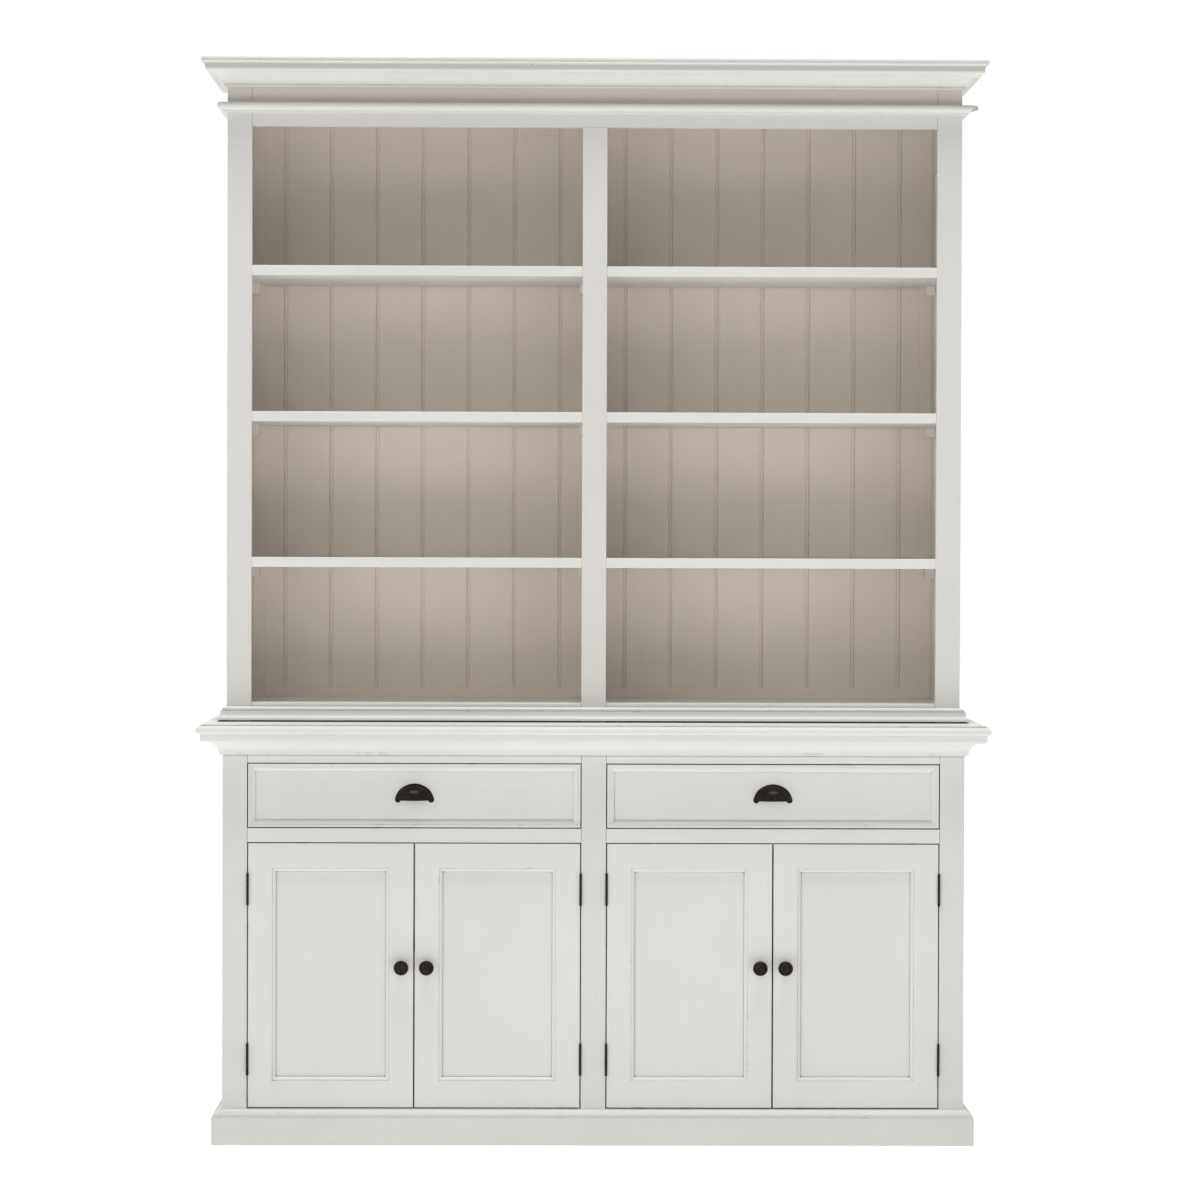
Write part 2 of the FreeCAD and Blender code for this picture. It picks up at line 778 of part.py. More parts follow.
def turned_shell(shares, length, crest):
    """A round with flats along its curve, turned about an axis along X, down to the lip at its ends."""
    half = [(share * length, depth * crest) for share, depth in shares] + [(length, pull_centre_setback())]
    section = [(-x, radius) for x, radius in reversed(half)] + half
    section = [(-length, 0)] + section + [(length, 0)]
    face = outline(section, lambda x, radius: FreeCAD.Vector(x, 0, radius))
    return face.revolve(FreeCAD.Vector(), FreeCAD.Vector(1, 0, 0), 360)


def rim_outline(length, crest):
    """The outline in which a turned shell meets the drawer's face, in X and Z above the lip."""
    half = [(share * length, ((depth * crest) ** 2 - pull_centre_setback() ** 2) ** 0.5)
            for share, depth in pull_outside_shares]
    return [(-length, 0), (length, 0)] + half[::-1] + [(-x, z) for x, z in half]


def drawer_pull():
    """A cup pull at the middle of the right drawer."""
    reach = pull_half_length * 2
    setback = pull_centre_setback()
    crest = pull_projection + setback
    keep = box(-reach, reach, -reach, -setback, 0, reach)
    shell = turned_shell(pull_outside_shares, pull_half_length, crest).common(keep)
    rim = rim_outline(pull_half_length + pull_rim_width, crest + pull_rim_width)
    shell = shell.fuse(prism_y(rim, -setback - pull_rim_thickness, -setback))
    shell = shell.cut(turned_shell(pull_hollow_shares, pull_half_length * pull_hollow_end_share, crest))
    forwards = FreeCAD.Vector(0, -1, 0)
    for side in (-1, 1):
        centre = FreeCAD.Vector(side * pull_ear_offset, -setback, pull_ear_rise)
        shell = shell.fuse(Part.makeCylinder(pull_ear_radius, pull_rim_thickness, centre, forwards))
    field = base_front + drawer_field_recess
    lip = (drawer_floor + top_rail_under) / 2 - pull_lip_drop
    return moved(shell.removeSplitter().Solids, bay_centre(), field + setback, lip)


def save(node, solids):
    """One file for each named piece or group of like pieces."""
    Part.Compound(solids).exportStep("parts/" + node + ".step")


def save_fixed_pieces():
    save("plinth", plinth())
    save("base_side_right", base_side())
    save("base_side_left", mirrored(base_side()))
    save("base_partition", base_partition())
    save("base_floor", base_floor())
    save("base_back_boards", base_back_boards())
    save("base_stiles", base_stiles())
    save("base_rails", base_rails())
    save("drawer_runners", drawer_runners())
    save("drawer_kickers", drawer_kickers())
    save("cupboard_shelves", cupboard_shelves())
    save("cupboard_shelf_cleats", cupboard_shelf_cleats())
    save("door_stops", door_stops())
    save("door_catches", door_catches())
    save("counter_moulding", counter_moulding())
    save("counter_top", counter_top())
    save("hutch_side_right", hutch_side())
    save("hutch_side_left", mirrored(hutch_side()))
    save("hutch_partition", hutch_partition())
    save("hutch_floor", hutch_floor_board())
    save("hutch_ceiling", hutch_ceiling_board())
    save("hutch_back_frame", hutch_back_frame())
    save("hutch_back_boards", hutch_back_boards())
    save("hutch_stiles", hutch_stiles())
    save("hutch_frieze_rail", hutch_frieze_rail())
    save("hutch_bottom_rails", hutch_bottom_rails())
    save("hutch_shelves_right", hutch_shelves())
    save("hutch_shelves_left", mirrored(hutch_shelves()))
    save("hutch_shelf_cleats", hutch_shelf_cleats())
    save("hutch_base_moulding", hutch_base_moulding())
    save("frieze_bead", frieze_bead())
    save("cornice_moulding", cornice_moulding())
    save("cornice_board", cornice_board())


def save_doors():
    """Each door is placed by the edge of its opening and the way it reaches from its hinge."""
    places = [("left_outer", -opening_x, 1), ("left_inner", -centre_x, -1), ("right_inner", centre_x, 1),
              ("right_outer", opening_x, -1)]
    frame, panel = door()
    hardware = door_knob() + at_each_hinge(hinge_leaf(door_hinge_gap, -1, 1))
    leaves = at_each_hinge(hinge_leaf(0, 1, 0))
    frame_leaves = []
    for name, edge, reach in places:
        hand = mirrored if reach < 0 else list
        save("door_" + name + "_frame", moved(hand(frame), edge, 0, 0))
        save("door_" + name + "_panel", moved(hand(panel), edge, 0, 0))
        save("door_" + name + "_hardware", moved(hand(hardware), edge, 0, 0))
        frame_leaves += moved(hand(leaves), edge, 0, 0)
    save("hinge_frame_leaves", frame_leaves)


def save_drawers():
    pieces = {"front": drawer_front(), "box": drawer_box(), "bottom": drawer_bottom(), "pull": drawer_pull()}
    for name, solids in pieces.items():
        save("drawer_right_" + name, solids)
        save("drawer_left_" + name, mirrored(solids))


os.makedirs("parts", exist_ok=True)
save_fixed_pieces()
save_doors()
save_drawers()
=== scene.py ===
import bpy
import bmesh
import math
from mathutils import Matrix, Vector


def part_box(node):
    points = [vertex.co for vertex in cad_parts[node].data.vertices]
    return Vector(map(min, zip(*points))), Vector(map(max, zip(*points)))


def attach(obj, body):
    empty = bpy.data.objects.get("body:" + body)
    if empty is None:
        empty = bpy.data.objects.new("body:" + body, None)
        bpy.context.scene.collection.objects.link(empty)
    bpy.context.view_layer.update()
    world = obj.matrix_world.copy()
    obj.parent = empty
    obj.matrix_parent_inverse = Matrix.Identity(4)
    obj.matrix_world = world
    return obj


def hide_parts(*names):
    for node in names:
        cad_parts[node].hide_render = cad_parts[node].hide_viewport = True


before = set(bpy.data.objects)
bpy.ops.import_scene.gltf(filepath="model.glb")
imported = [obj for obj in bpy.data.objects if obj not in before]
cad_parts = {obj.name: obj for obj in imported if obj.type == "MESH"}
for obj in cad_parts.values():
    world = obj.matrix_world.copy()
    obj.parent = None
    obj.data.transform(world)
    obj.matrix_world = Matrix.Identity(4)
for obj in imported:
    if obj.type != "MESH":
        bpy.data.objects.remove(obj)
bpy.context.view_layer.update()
scene = bpy.context.scene

# Plinth. Three lengths of softwood skirting with a moulded top edge, mitred at the front corners and
# pinned round the foot of the cupboards. Like all the woodwork it is brushed with a warm white satin
# paint and rubbed back, so that bare wood shows in small spots along the arrises. The plinth's paint,
# like that of the bookcase stiles and frieze rail, is a little darker, as painted shade.

PAINT = (0.780, 0.780, 0.746)
PAINT_SHADE = (0.718, 0.712, 0.672)
# A darker copy of the paint and of its mottle colour, as painted shade.
PAINT_DARKENED_AS_SHADE = (0.722, 0.710, 0.680)
PAINT_SHADE_DARKENED_AS_SHADE = (0.668, 0.652, 0.616)
RUBBED_WOOD = (0.36, 0.215, 0.165)
CRACK = (0.26, 0.23, 0.20)
# Near-black painted shade for deep in the narrow gaps between parts.
GAP_PAINTED_SHADE = (0.045, 0.038, 0.034)

# Marks, mottles and patches are given by how many go to a metre. A step is what is measured at its
# start and end, and then the share, or the roughness, that it gives at each.
MARKS_ALONG_GRAIN = 5.0
MARKS_ACROSS_GRAIN = 260.0
MOTTLES = 3.5
WORN_PATCHES = 26.0
PATCHES_MOVED = (3.1, 7.7, 1.3)
MOTTLE_STEP = (0.35, 0.72, 0.0, 0.45)
BRUSH_STEP = (0.45, 0.75, 0.0, 0.22)
CRACK_STEP = (0.0012, 0.0005, 0.0, 0.65)
PATCH_FROM, PATCH_TO, PATCH_SHARE = 0.58, 0.66, 0.8
SATIN_STEP = (0.3, 0.8, 0.46, 0.58)
WORN_REACH = 0.0028
CORNER_STEP = (0.99, 0.80)
CORNER_RAYS = 6
BAND_EDGE = 0.001
GAP_WIDTH = 0.005
GAP_FADE = 0.20
GAP_RAYS = 6
DOOR_GAPS_FROM = 0.66


def new_material(name):
    material = bpy.data.materials.new(name)
    material.use_nodes = True
    tree = material.node_tree
    return material, tree, tree.nodes["Principled BSDF"]


def add_node(tree, kind, settings=None, inputs=None):
    """One shader node, with its settings and the sockets or values that feed it."""
    node = tree.nodes.new(kind)
    for key, value in (settings or {}).items():
        setattr(node, key, value)
    for key, value in (inputs or {}).items():
        if isinstance(value, bpy.types.NodeSocket):
            tree.links.new(value, node.inputs[key])
        else:
            node.inputs[key].default_value = value
    return node


def calculated(tree, operation, first, second=0.0):
    """A sum, product or the like of two values; ABSOLUTE reads only the first."""
    return add_node(tree, "ShaderNodeMath", {"operation": operation}, {0: first, 1: second}).outputs[0]


def product(tree, first, second):
    return calculated(tree, "MULTIPLY", first, second)


def step_between(tree, value, low, high, floor=0.0, top=1.0):
    """A smooth step of a value from floor to top as it goes from low to high."""
    node = add_node(tree, "ShaderNodeMapRange", {"interpolation_type": "SMOOTHSTEP"},
                    {"Value": value, "From Min": low, "From Max": high, "To Min": floor, "To Max": top})
    return node.outputs[0]


def blend_colours(tree, share, first, second):
    node = add_node(tree, "ShaderNodeMix", {"data_type": "RGBA"})
    for socket, value in ((node.inputs[0], share), (node.inputs[6], first), (node.inputs[7], second)):
        if isinstance(value, bpy.types.NodeSocket):
            tree.links.new(value, socket)
        elif isinstance(value, tuple):
            socket.default_value = (*value, 1.0)
        else:
            socket.default_value = value
    return node.outputs[2]


def object_place(tree):
    return add_node(tree, "ShaderNodeTexCoord").outputs["Object"]


def place_along(tree, axis):
    """Where a point lies along X, Y or Z, in metres."""
    return add_node(tree, "ShaderNodeSeparateXYZ", None, {0: object_place(tree)}).outputs[axis]


def stretched_noise(tree, scales, detail, roughness=0.55, offset=(0, 0, 0)):
    """Noise on Object coordinates, with its own scale along each axis in features a metre."""
    mapped = add_node(tree, "ShaderNodeMapping", None,
                      {"Vector": object_place(tree), "Scale": scales, "Location": offset})
    noise = add_node(tree, "ShaderNodeTexNoise", None,
                     {"Vector": mapped.outputs[0], "Scale": 1.0, "Detail": detail, "Roughness": roughness})
    return noise.outputs[0]


def grained_noise(tree, grain, along, across, detail, roughness=0.55):
    """Noise drawn out along the grain, which is X, Y or Z."""
    return stretched_noise(tree, tuple(along if axis == grain else across for axis in "XYZ"), detail, roughness)


def even_noise(tree, scale, detail, roughness=0.55, offset=(0, 0, 0)):
    return stretched_noise(tree, (scale, scale, scale), detail, roughness, offset)


def add_bump(tree, skin, height, strength, distance):
    bump = add_node(tree, "ShaderNodeBump", None, {"Strength": strength, "Distance": distance, "Height": height})
    tree.links.new(bump.outputs[0], skin.inputs["Normal"])


def arris_share(tree, reach):
    """How near a point is to an outer or inner corner, from 0 on a flat to 1 on the corner."""
    soft = add_node(tree, "ShaderNodeBevel", {"samples": CORNER_RAYS}, {"Radius": reach}).outputs[0]
    true = add_node(tree, "ShaderNodeNewGeometry").outputs["True Normal"]
    likeness = add_node(tree, "ShaderNodeVectorMath", {"operation": "DOT_PRODUCT"}, {0: soft, 1: true})
    return step_between(tree, likeness.outputs["Value"], *CORNER_STEP)


def height_band(tree, low, high, soft=BAND_EDGE):
    """1 where a point stands between two heights in metres, 0 above and below them."""
    height = place_along(tree, "Z")
    over = step_between(tree, height, low - soft, low + soft)
    return product(tree, over, step_between(tree, height, high - soft, high + soft, 1.0, 0.0))


def distance_across(tree, places):
    """How far a point is, in metres to either side, from the nearest of some places along X."""
    across = calculated(tree, "ABSOLUTE", place_along(tree, "X"))
    nearest = None
    for place in places:
        apart = calculated(tree, "ABSOLUTE", calculated(tree, "SUBTRACT", across, place))
        nearest = apart if nearest is None else calculated(tree, "MINIMUM", nearest, apart)
    return nearest


def gap_share(tree, open_from):
    """1 deep in a narrow gap between two pieces, 0 on a face that is more open than a given share."""
    openness = add_node(tree, "ShaderNodeAmbientOcclusion", {"samples": GAP_RAYS}, {"Distance": GAP_WIDTH})
    return step_between(tree, openness.outputs["AO"], open_from, open_from - GAP_FADE)


def brushed_paint(name, grain, colour=PAINT, shade=PAINT_SHADE, wear=1.0, joints=(), painted_shade_bands=(), gap_shade_places=None,
                  open_from=DOOR_GAPS_FROM):
    """Satin paint with brush marks along the grain, faint mottling and wood showing at worn arrises.
    Where they are asked for, it has bands of painted shade between given heights, fine cracks over the
    joints, and near-black painted shade deep in the gaps."""
    material, tree, skin = new_material(name)
    strokes = grained_noise(tree, grain, MARKS_ALONG_GRAIN, MARKS_ACROSS_GRAIN, detail=3.0)
    mottle = even_noise(tree, MOTTLES, detail=4.0)
    body = blend_colours(tree, step_between(tree, mottle, *MOTTLE_STEP), colour, shade)
    body = blend_colours(tree, step_between(tree, strokes, *BRUSH_STEP), body, shade)
    # Painted shade: darker bands laid between given heights.
    for low, high, tint in painted_shade_bands:
        body = blend_colours(tree, height_band(tree, low, high), body, tint)
    if joints:
        crack = step_between(tree, distance_across(tree, joints), *CRACK_STEP)
        body = blend_colours(tree, crack, body, CRACK)
    patches = even_noise(tree, WORN_PATCHES, detail=5.0, roughness=0.62, offset=PATCHES_MOVED)
    bared = step_between(tree, patches, PATCH_FROM, PATCH_TO, 0.0, PATCH_SHARE * wear)
    body = blend_colours(tree, product(tree, arris_share(tree, WORN_REACH), bared), body, RUBBED_WOOD)
    # Painted shade: near-black colour deep in narrow gaps, where shadow falls.
    if gap_shade_places is not None:
        body = blend_colours(tree, product(tree, gap_share(tree, open_from), gap_shade_places(tree)), body, GAP_PAINTED_SHADE)
    tree.links.new(body, skin.inputs["Base Color"])
    tree.links.new(step_between(tree, strokes, *SATIN_STEP), skin.inputs["Roughness"])
    add_bump(tree, skin, strokes, strength=0.22, distance=0.0004)
    return material


ARRIS_EASE = 0.0008
WELD_DISTANCE = 0.000005
FLAT_WITHIN = math.radians(0.5)
SMOOTH_WITHIN = math.radians(24)
EASED_PAST = math.radians(30)


def eased_copy(node, body, material, name, ease=ARRIS_EASE):
    """A node's solids with welded corners and eased edges, in place of the loose triangles."""
    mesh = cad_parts[node].data.copy()
    shape = bmesh.new()
    shape.from_mesh(mesh)
    bmesh.ops.remove_doubles(shape, verts=shape.verts, dist=WELD_DISTANCE)
    bmesh.ops.dissolve_limit(shape, angle_limit=FLAT_WITHIN, verts=shape.verts, edges=shape.edges)
    for face in shape.faces:
        face.smooth = True
    for edge in shape.edges:
        edge.smooth = len(edge.link_faces) == 2 and edge.calc_face_angle(0.0) < SMOOTH_WITHIN
    shape.to_mesh(mesh)
    shape.free()
    piece = bpy.data.objects.new(name, mesh)
    scene.collection.objects.link(piece)
    mesh.materials.clear()
    mesh.materials.append(material)
    edge_round = piece.modifiers.new("eased edges", "BEVEL")
    edge_round.width = ease
    edge_round.segments = 2
    edge_round.limit_method = "ANGLE"
    edge_round.angle_limit = EASED_PAST
    edge_round.harden_normals = True
    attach(piece, body)
    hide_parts(node)
    return piece


def painted(nodes, body, paint, ease=ARRIS_EASE):
    """Eased copies of some nodes on one body, all in the same paint."""
    for node in nodes:
        eased_copy(node, body, paint, node + "_painted", ease)


# The plinth's paint is darkened, as painted shade.
plinth_paint = brushed_paint("paint on the plinth", "X", PAINT_DARKENED_AS_SHADE, PAINT_SHADE_DARKENED_AS_SHADE)
painted(["plinth"], "cabinet", plinth_paint)

# Cupboard carcass. Framed and panelled sides, a partition, a floor, a shelf on cleats in each
# cupboard, and runners and kickers for the drawers. All are softwood, glued and screwed together.

upright_paint = brushed_paint("paint brushed upright", "Z")
level_paint = brushed_paint("paint brushed level", "X")
side_paint = brushed_paint("paint brushed front to back", "Y")
painted(["base_side_left", "base_side_right", "base_partition"], "cabinet", upright_paint)
painted(["base_floor", "cupboard_shelves"], "cabinet", level_paint)
painted(["cupboard_shelf_cleats", "drawer_runners", "drawer_kickers"], "cabinet", side_paint)

# Face frame of the cupboards. Three softwood stiles and the rails between them, tenoned and glued to
# the carcass, with a block behind each middle rail that the doors close against. A fine crack shows
# over each joint, and near-black painted shade lies in the narrow gaps along the rails and round the
# drawers. The stiles' paint is a little darker, as painted shade.

# The cupboard stiles' paint, darkened as painted shade.
CUPBOARD_STILE_PAINT_DARKENED_AS_SHADE = (0.740, 0.742, 0.706)
OUTER_JOINT = 0.700
CENTRE_JOINT = 0.025
DRAWERS_FROM = 0.625
DRAWERS_TO = 0.80
FRAME_GAPS_FROM = 0.74


def every_gap(tree):
    return 1.0


def gaps_by_the_drawers(tree):
    return height_band(tree, DRAWERS_FROM, DRAWERS_TO)


cupboard_stile_paint = brushed_paint("paint on the cupboard stiles", "Z", CUPBOARD_STILE_PAINT_DARKENED_AS_SHADE, PAINT_SHADE_DARKENED_AS_SHADE,
                                     gap_shade_places=gaps_by_the_drawers, open_from=FRAME_GAPS_FROM)
rail_paint = brushed_paint("paint on the rails", "X", joints=(OUTER_JOINT, CENTRE_JOINT), gap_shade_places=every_gap,
                           open_from=FRAME_GAPS_FROM)
painted(["base_stiles"], "cabinet", cupboard_stile_paint)
painted(["base_rails"], "cabinet", rail_paint)
painted(["door_stops"], "cabinet", level_paint)

# Counter. A softwood board with a stepped and rounded nose on its front and both ends, over a crown
# moulding that is mitred round three sides. The moulding on top of it is mitred round the foot of the
# bookcase, and near-black painted shade lies in the narrow gaps about it and the board.

COUNTER_GAPS_FROM = 0.70

counter_paint = brushed_paint("paint about the counter", "X", gap_shade_places=every_gap, open_from=COUNTER_GAPS_FROM)
painted(["counter_top", "hutch_base_moulding"], "cabinet", counter_paint)
painted(["counter_moulding"], "cabinet", level_paint)

# Bookcase carcass. Framed and panelled sides, a partition between the bays, a floor and a ceiling,
# all softwood boards housed and glued into each other.

painted(["hutch_side_left", "hutch_side_right", "hutch_partition"], "cabinet", upright_paint)
painted(["hutch_floor", "hutch_ceiling"], "cabinet", level_paint)

# Backs. Beaded boards in a frame behind the shelves, and plain boards behind the cupboards, tongued
# and grooved and pinned on. On the inside the paint is warmer and brighter than elsewhere: painted
# light that stands for the warm shade and bounced light in the bays. On the rear, where nobody rubs
# it, it is the common paint, with a fine crack over each joint of the boards.

# Warmer, brighter paint for the insides: painted light for the warm shade and bounce in the bays.
BACK_PAINT_WITH_PAINTED_LIGHT = (0.940, 0.838, 0.758)
BACK_SHADE_WITH_PAINTED_LIGHT = (0.865, 0.762, 0.680)
BACK_WEAR = 0.5
BACK_EASE = 0.0006
ON_THE_REAR = 0.0001

back_paint = brushed_paint("paint on the back boards", "Z", BACK_PAINT_WITH_PAINTED_LIGHT, BACK_SHADE_WITH_PAINTED_LIGHT, BACK_WEAR)
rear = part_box("hutch_back_boards")[1][1] - ON_THE_REAR
for node in ("hutch_back_frame", "hutch_back_boards", "base_back_boards"):
    piece = eased_copy(node, "cabinet", back_paint, node + "_painted", BACK_EASE)
    board_edges = sorted({round(abs(point.co.x), 4) for point in piece.data.vertices if point.co.y > rear})
    piece.data.materials.append(brushed_paint("paint on the rear of " + node, "Z", joints=board_edges))
    for face in piece.data.polygons:
        if face.center.y > rear:
            face.material_index = 1

# Bookcase shelves. Three softwood boards in each bay, notched round the stiles. They rest on small
# cleats under their ends, which are screwed to the sides and carry the same warm painted light as the back.

# The cleats share the back's warm painted light.
cleat_paint = brushed_paint("paint on the shelf cleats", "Y", BACK_PAINT_WITH_PAINTED_LIGHT, BACK_SHADE_WITH_PAINTED_LIGHT, BACK_WEAR)
painted(["hutch_shelves_left", "hutch_shelves_right"], "cabinet", level_paint)
painted(["hutch_shelf_cleats"], "cabinet", cleat_paint)

# Face frame of the bookcase. Stiles, a deep frieze rail and two bottom rails, joined like those of
# the cupboards. The strip of frieze under the cornice, and the stiles beside it, carry a warm painted
# shadow, and the stiles and frieze rail are a little darker all over, as painted shade.

# Warm painted shadow on the strip between the bead and the cornice.
FRIEZE_PAINTED_SHADE = (0.640, 0.590, 0.535)
FRIEZE_SHADE_BAND = ((2.1125, 2.145, FRIEZE_PAINTED_SHADE),)

bookcase_stile_paint = brushed_paint("paint on the bookcase stiles", "Z", PAINT_DARKENED_AS_SHADE, PAINT_SHADE_DARKENED_AS_SHADE,
                                     painted_shade_bands=FRIEZE_SHADE_BAND)
frieze_paint = brushed_paint("paint on the frieze rail", "X", PAINT_DARKENED_AS_SHADE, PAINT_SHADE_DARKENED_AS_SHADE, joints=(OUTER_JOINT,),
                             painted_shade_bands=FRIEZE_SHADE_BAND)
painted(["hutch_stiles"], "cabinet", bookcase_stile_paint)
painted(["hutch_frieze_rail"], "cabinet", frieze_paint)
painted(["hutch_bottom_rails"], "cabinet", rail_paint)

# Bead and cornice. A small roll on a fillet along the frieze, and a crown moulding above it, both of
# softwood, mitred round three sides and pinned. The board on top has a square lip that is hollowed
# underneath. Thin dark bands of painted shade run along the steps of the cornice, and its top is
# darker, with dust and painted shade.

# Painted shade along the cornice's steps, and a darker top that is dust with painted shade.
CORNICE_PAINTED_SHADE = (0.610, 0.580, 0.540)
TOP_DUST_AND_SHADE = (0.480, 0.450, 0.400)
CORNICE_SHADE_LINES = ((2.1478, 2.1502, CORNICE_PAINTED_SHADE), (2.1785, 2.1875, CORNICE_PAINTED_SHADE),
                 (2.1930, 2.1965, CORNICE_PAINTED_SHADE), (2.2, 2.21, TOP_DUST_AND_SHADE))

cornice_paint = brushed_paint("paint on the cornice", "X", painted_shade_bands=CORNICE_SHADE_LINES)
painted(["frieze_bead"], "cabinet", level_paint)
painted(["cornice_moulding", "cornice_board"], "cabinet", cornice_paint)

# Doors. Softwood frame and panel, with a moulded inner edge. The same paint, brushed up the stiles,
# is rubbed more along the mouldings, where a cloth catches. Near-black painted shade lies in the gaps,
# but not on the hinge side.

DOOR_WEAR = 1.2
DOOR_EASE = 0.0007
HINGE_SIDE_STEP = (0.004, 0.006)


def gaps_off_the_hinges(tree):
    return step_between(tree, distance_across(tree, (OUTER_JOINT, CENTRE_JOINT)), *HINGE_SIDE_STEP)


door_paint = brushed_paint("paint on the doors", "Z", wear=DOOR_WEAR, gap_shade_places=gaps_off_the_hinges)
door_names = ["left_outer", "left_inner", "right_inner", "right_outer"]
for door in door_names:
    painted(["door_" + door + "_frame", "door_" + door + "_panel"], "door_" + door, door_paint, DOOR_EASE)

# Drawers. Painted fronts with a planted moulding, on boxes of plain unpainted pine. The sides' grain
# runs to the back, and that of the box's back and of the bottom runs across.

PINE = (0.66, 0.47, 0.28)
PINE_LATE_WOOD = (0.50, 0.31, 0.155)
RINGS_ALONG_GRAIN, RINGS_ACROSS_GRAIN = 2.2, 70.0
FIBRES_ALONG_GRAIN, FIBRES_ACROSS_GRAIN = 12.0, 700.0
RING_STEP = (0.42, 0.66)
FIBRE_STEP = (0.5, 0.8, 0.0, 0.3)
BOX_BACK_THICKNESS = 0.013


def bare_pine(name, grain):
    """Pine with streaky growth rings along the grain, oiled only by hands."""
    material, tree, skin = new_material(name)
    rings = grained_noise(tree, grain, RINGS_ALONG_GRAIN, RINGS_ACROSS_GRAIN, detail=3.0, roughness=0.6)
    fibres = grained_noise(tree, grain, FIBRES_ALONG_GRAIN, FIBRES_ACROSS_GRAIN, detail=2.0)
    colour = blend_colours(tree, step_between(tree, rings, *RING_STEP), PINE, PINE_LATE_WOOD)
    colour = blend_colours(tree, step_between(tree, fibres, *FIBRE_STEP), colour, PINE_LATE_WOOD)
    tree.links.new(colour, skin.inputs["Base Color"])
    skin.inputs["Roughness"].default_value = 0.62
    add_bump(tree, skin, fibres, strength=0.2, distance=0.0003)
    return material


# The drawer fronts carry near-black painted shade in all the gaps round them.
drawer_paint = brushed_paint("paint on the drawer fronts", "X", wear=DOOR_WEAR, gap_shade_places=every_gap)
long_pine = bare_pine("pine along the sides", "Y")
cross_pine = bare_pine("pine across the bottom", "X")
drawer_names = ["drawer_left", "drawer_right"]
for drawer in drawer_names:
    painted([drawer + "_front"], drawer, drawer_paint, DOOR_EASE)
    box = eased_copy(drawer + "_box", drawer, long_pine, drawer + "_box_pine")
    box.data.materials.append(cross_pine)
    back_board_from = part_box(drawer + "_box")[1][1] - BOX_BACK_THICKNESS
    for face in box.data.polygons:
        if face.center.y > back_board_from:
            face.material_index = 1
    eased_copy(drawer + "_bottom", drawer, cross_pine, drawer + "_bottom_pine")

# Knobs and hinges. Cast iron with a dark brown, nearly black finish, a little lighter where fingers
# rub it. Knobs are turned, with a rounded rim, a fine ring and a domed middle, and screwed on from
# behind. Butt hinges have one knuckle on the door and two on the frame, and leaves let into both.

IRON = (0.010, 0.0065, 0.0055)
IRON_RUBBED = (0.060, 0.036, 0.026)
IRON_SPECK = (0.058, 0.038, 0.032)
# Soft brown painted highlight for the dome of each pull.
PULL_PAINTED_HIGHLIGHT = (0.130, 0.094, 0.078)
GRITS, SPECKS, CLOUDS = 900.0, 380.0, 60.0
SPECK_STEP = (0.50, 0.66, 0.0, 0.8)
FINGER_STEP = (0.4, 0.7, 0.2, 0.9)
SHEEN_STEP = (0.3, 0.7, 0.34, 0.50)
RUBBED_REACH = 0.0012
HIGHLIGHT_HEIGHTS = (0.7112, 0.7158)
HIGHLIGHT_EDGE = 0.0022
HIGHLIGHT_STEP = (0.013, 0.001)


def dark_iron(name, highlight_across=None):
    """Cast iron, with a soft brown painted highlight around a place to either side, where one is given."""
    material, tree, skin = new_material(name)
    grit = even_noise(tree, GRITS, detail=2.0)
    cloud = even_noise(tree, CLOUDS, detail=4.0)
    rubbed = product(tree, arris_share(tree, RUBBED_REACH), step_between(tree, cloud, *FINGER_STEP))
    specks = even_noise(tree, SPECKS, detail=3.0)
    metal = blend_colours(tree, step_between(tree, specks, *SPECK_STEP), IRON, IRON_SPECK)
    if highlight_across is not None:
        # Painted highlight: a soft brown patch where light would catch the pull's dome.
        near_middle = step_between(tree, distance_across(tree, (highlight_across,)), *HIGHLIGHT_STEP)
        highlight = product(tree, near_middle, height_band(tree, *HIGHLIGHT_HEIGHTS, HIGHLIGHT_EDGE))
        metal = blend_colours(tree, highlight, metal, PULL_PAINTED_HIGHLIGHT)
    tree.links.new(blend_colours(tree, rubbed, metal, IRON_RUBBED), skin.inputs["Base Color"])
    skin.inputs["Metallic"].default_value = 0.4
    skin.inputs["Specular IOR Level"].default_value = 0.2
    tree.links.new(step_between(tree, cloud, *SHEEN_STEP), skin.inputs["Roughness"])
    add_bump(tree, skin, grit, strength=0.15, distance=0.0002)
    return material


# The knob's outline is pairs of a radius and a distance out from the door.
KNOB_CURVE = [(0.0056, 0.0), (0.0054, 0.0075), (0.0064, 0.0098), (0.0096, 0.0128), (0.0128, 0.0154),
              (0.0145, 0.0175), (0.0150, 0.0195), (0.0146, 0.0217), (0.0136, 0.0233), (0.0122, 0.0241),
              (0.0113, 0.0239), (0.0108, 0.0233), (0.0102, 0.0236), (0.0094, 0.0243), (0.0060, 0.0248)]
KNOB_STEPS = 64
KNOB_TIP_FROM = 0.02
KNOB_REACH = 0.0150
KNOB_RISE = 0.0170
IRON_WELD = 0.000002
IRON_SMOOTH_WITHIN = math.radians(38)
HINGE_RADIUS = 0.0025
HINGE_LENGTH = 0.065
HINGE_LEAF = 0.0010
HINGE_GAP = 0.0024
KNUCKLE_GAP = 0.0003
KNUCKLE_SIDES = 28
KNUCKLE_EASE = 0.0003
SAME_HEIGHT = 0.000001
front_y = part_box("base_stiles")[0].y
pin_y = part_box("hinge_frame_leaves")[0].y + HINGE_RADIUS
leaf_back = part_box("hinge_frame_leaves")[1].y


